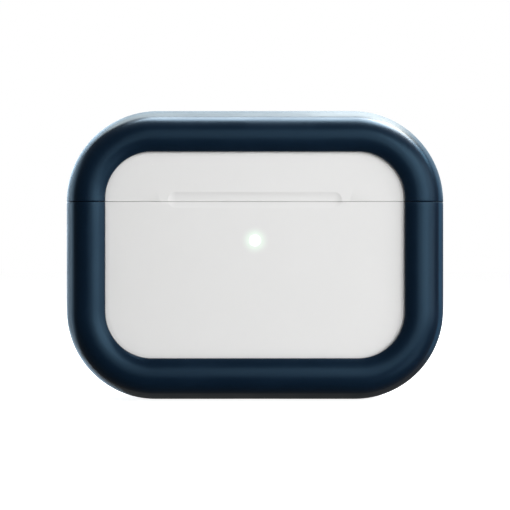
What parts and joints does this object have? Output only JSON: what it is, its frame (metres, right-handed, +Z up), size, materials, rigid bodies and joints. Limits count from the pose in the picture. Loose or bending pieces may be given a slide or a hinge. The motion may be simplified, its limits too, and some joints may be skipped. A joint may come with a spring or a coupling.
{
  "type": "wireless earbuds charging case",
  "caption": "Rounded upright charging case for a pair of wireless earbuds, white with a hinged lid, status light, rear button and two-part navy bumper.",
  "frame": {"origin": "on the resting plane, under the middle of the case's outline", "axes": "+X to the right seen from the front, -Y out of the front face with the status light, +Y to the hinge, +Z up"},
  "size_m": [0.0656, 0.0256, 0.0502],
  "materials": {
    "white_shell": "glossy moulded polycarbonate",
    "navy_bumper": "satin moulded elastomer, navy blue",
    "hinge_steel": "polished stainless steel",
    "spring_steel": "drawn spring wire",
    "port_steel": "drawn and stamped stainless steel",
    "gold_contact": "gold-plated brass",
    "copper_wire": "enamelled copper winding",
    "ferrite": "sintered ferrite",
    "magnet_plate": "nickel-plated sintered magnet",
    "circuit_board": "glass-fibre circuit board with green solder mask",
    "flex_circuit": "amber polyimide film with copper tracks",
    "black_plastic": "black moulded plastic",
    "battery_foil": "pouch cell in aluminium-laminate foil",
    "light_pipe": "clear moulded light pipe",
    "adhesive_tape": "double-sided adhesive strip"
  },
  "bodies": {
    "base": {"bumper_base": "navy_bumper", "base_shell": "white_shell", "earbud_tray": "white_shell", "hinge_leaf_base": "hinge_steel", "hinge_pin": "hinge_steel", "hinge_spring_left": "spring_steel", "hinge_spring_right": "spring_steel", "hinge_screw_base_left": "hinge_steel", "hinge_screw_base_right": "hinge_steel", "board_screw_left": "hinge_steel", "board_screw_right": "hinge_steel", "button_switch": "port_steel", "usb_port_shell": "port_steel", "usb_port_tongue": "black_plastic", "port_board": "circuit_board", "led_board": "circuit_board", "main_board": "circuit_board", "led_light_pipe": "light_pipe", "status_led": "light_pipe", "lid_sensor": "black_plastic", "charge_controller": "black_plastic", "shield_can": "port_steel", "power_inductor": "ferrite", "battery_left": "battery_foil", "battery_right": "battery_foil", "coil_ferrite": "ferrite", "charging_coil": "copper_wire", "contact_flex": "flex_circuit", "contact_carrier_left": "black_plastic", "contact_carrier_right": "black_plastic", "base_magnet_left": "magnet_plate", "base_magnet_right": "magnet_plate", "earbud_magnet_left": "magnet_plate", "earbud_magnet_right": "magnet_plate"},
    "lid": {"bumper_lid": "navy_bumper", "bumper_tape": "adhesive_tape", "lid_shell": "white_shell", "lid_liner": "white_shell", "hinge_leaf_lid": "hinge_steel", "hinge_screw_lid_left": "hinge_steel", "hinge_screw_lid_right": "hinge_steel", "lid_magnet_left": "magnet_plate", "lid_magnet_right": "magnet_plate", "sensor_magnet": "magnet_plate"},
    "setup_button": {"setup_button": "white_shell"},
    "contact_pin_left_inner": {"contact_pin_left_inner": "gold_contact"},
    "contact_pin_left_outer": {"contact_pin_left_outer": "gold_contact"},
    "contact_pin_right_inner": {"contact_pin_right_inner": "gold_contact"},
    "contact_pin_right_outer": {"contact_pin_right_outer": "gold_contact"}
  },
  "joints": [
    {"name": "lid_hinge", "type": "hinge", "parent": "base", "child": "lid", "pos_m": [0, 0.01085, 0.0342], "axis": [-1, 0, 0], "range_deg": [0, 100]},
    {"name": "setup_button_press", "type": "slide", "parent": "base", "child": "setup_button", "axis": [0, -1, 0], "range_m": [0, 0.0004], "stiffness_N_per_m": 300},
    {"name": "contact_pin_left_inner_press", "type": "slide", "parent": "base", "child": "contact_pin_left_inner", "axis": [0, 0, -1], "range_m": [0, 0.0006], "stiffness_N_per_m": 100},
    {"name": "contact_pin_left_outer_press", "type": "slide", "parent": "base", "child": "contact_pin_left_outer", "axis": [0, 0, -1], "range_m": [0, 0.0006], "stiffness_N_per_m": 100},
    {"name": "contact_pin_right_inner_press", "type": "slide", "parent": "base", "child": "contact_pin_right_inner", "axis": [0, 0, -1], "range_m": [0, 0.0006], "stiffness_N_per_m": 100},
    {"name": "contact_pin_right_outer_press", "type": "slide", "parent": "base", "child": "contact_pin_right_outer", "axis": [0, 0, -1], "range_m": [0, 0.0006], "stiffness_N_per_m": 100}
  ]
}
